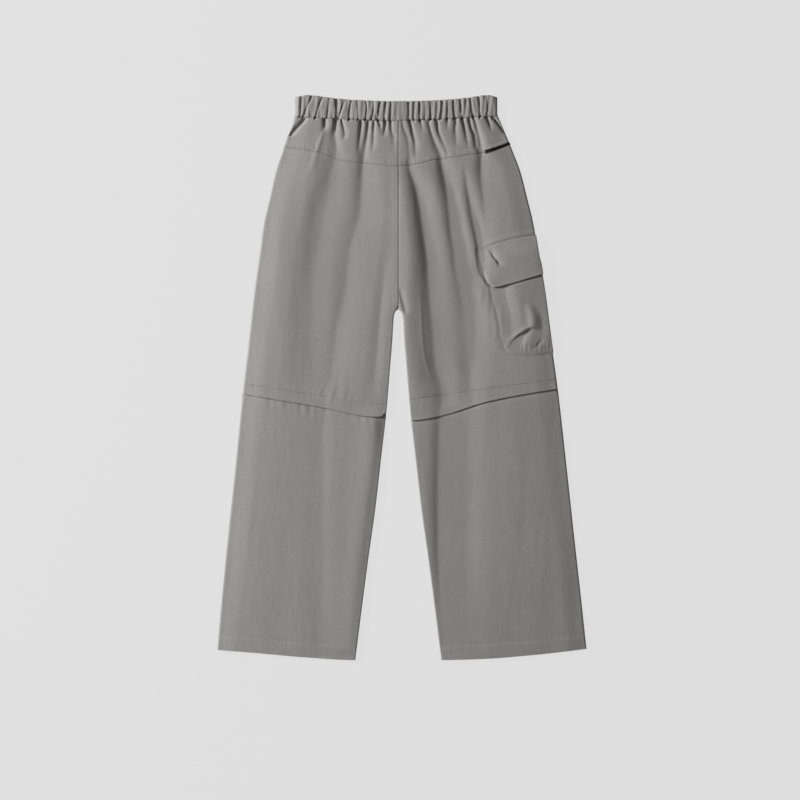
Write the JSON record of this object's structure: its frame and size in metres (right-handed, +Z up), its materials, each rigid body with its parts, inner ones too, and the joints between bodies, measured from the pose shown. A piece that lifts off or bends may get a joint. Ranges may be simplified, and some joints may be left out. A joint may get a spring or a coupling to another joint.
{
  "type": "casual trousers, laid flat",
  "caption": "Wide-leg woven trousers laid flat, back side up, with a gathered elastic waist, back yoke, knee flaps for the detachable lower legs, and a lidded cargo pocket on the right thigh",
  "frame": {"origin": "the middle of the ground under the trousers' box: half their width across, half their length along, on the surface that they lie on", "axes": "+X points across, to the wearer's right side with the cargo pocket; +Y points along the legs, from the hems to the waist; +Z points up, out of the back of the trousers"},
  "size_m": [0.6467, 0.9888, 0.0124],
  "materials": {
    "cloth": "matt plain weave",
    "zip": "black nylon coil on a woven tape"
  },
  "bodies": {
    "root": {"waistband_back": "cloth", "waistband_front": "cloth", "yoke_back_left": "cloth", "yoke_back_right": "cloth", "thigh_back_left": "cloth", "thigh_back_right": "cloth", "knee_flap_back_left": "cloth", "knee_flap_back_right": "cloth", "lower_leg_back_left": "cloth", "lower_leg_back_right": "cloth", "thigh_front_left": "cloth", "thigh_front_right": "cloth", "knee_flap_front_left": "cloth", "knee_flap_front_right": "cloth", "lower_leg_front_left": "cloth", "lower_leg_front_right": "cloth", "cargo_pocket_bag": "cloth", "cargo_pocket_lid": "cloth", "pocket_zip": "zip"}
  },
  "joints": []
}
